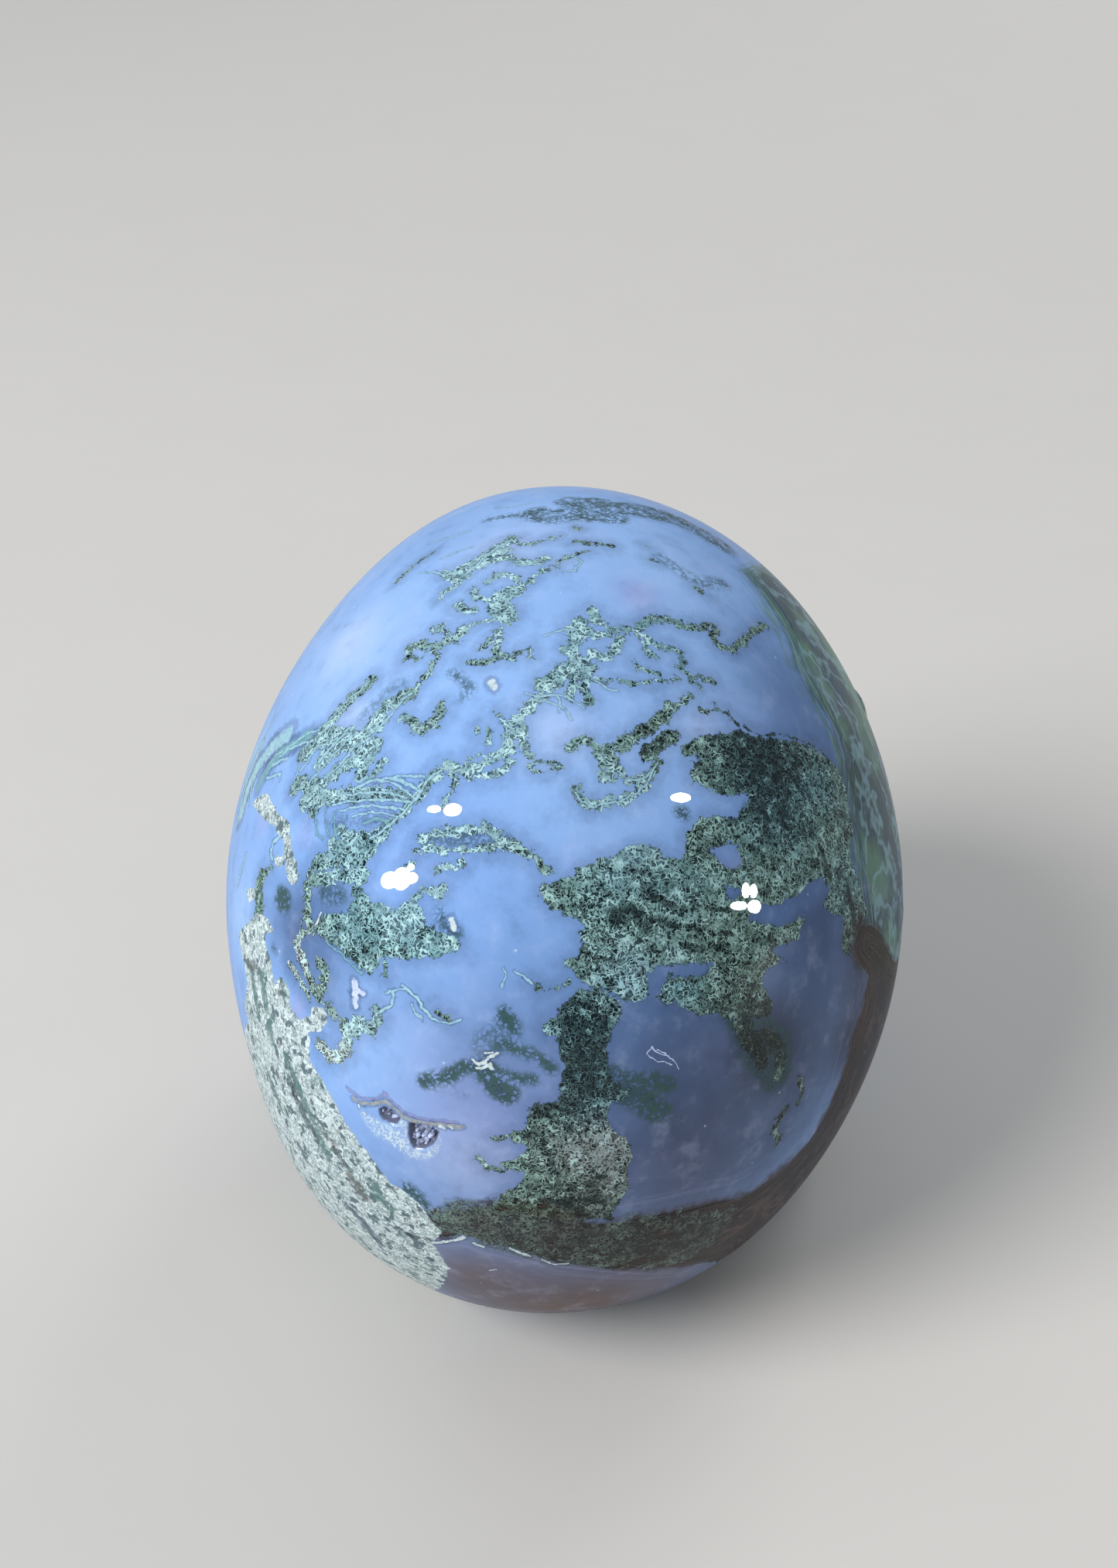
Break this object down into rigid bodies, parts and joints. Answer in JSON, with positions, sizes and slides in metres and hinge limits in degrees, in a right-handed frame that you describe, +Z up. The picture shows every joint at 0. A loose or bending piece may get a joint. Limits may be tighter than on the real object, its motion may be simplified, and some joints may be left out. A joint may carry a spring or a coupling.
{
  "type": "carved stone skull",
  "caption": "Skull carved from polished moss agate, with an egg-shaped cranium, hollow eye and nose sockets, two rows of teeth and a flat cut base to stand on.",
  "frame": {"origin": "middle of the bounding box, on the flat base", "axes": "+Z up, +Y to the back of the head, the face looks along -Y, X across the face"},
  "size_m": [0.0711, 0.0945, 0.0809],
  "materials": {
    "moss agate": "polished, milky blue chalcedony with green and white moss inside it"
  },
  "bodies": {
    "root": {"skull": "moss agate"}
  },
  "joints": []
}
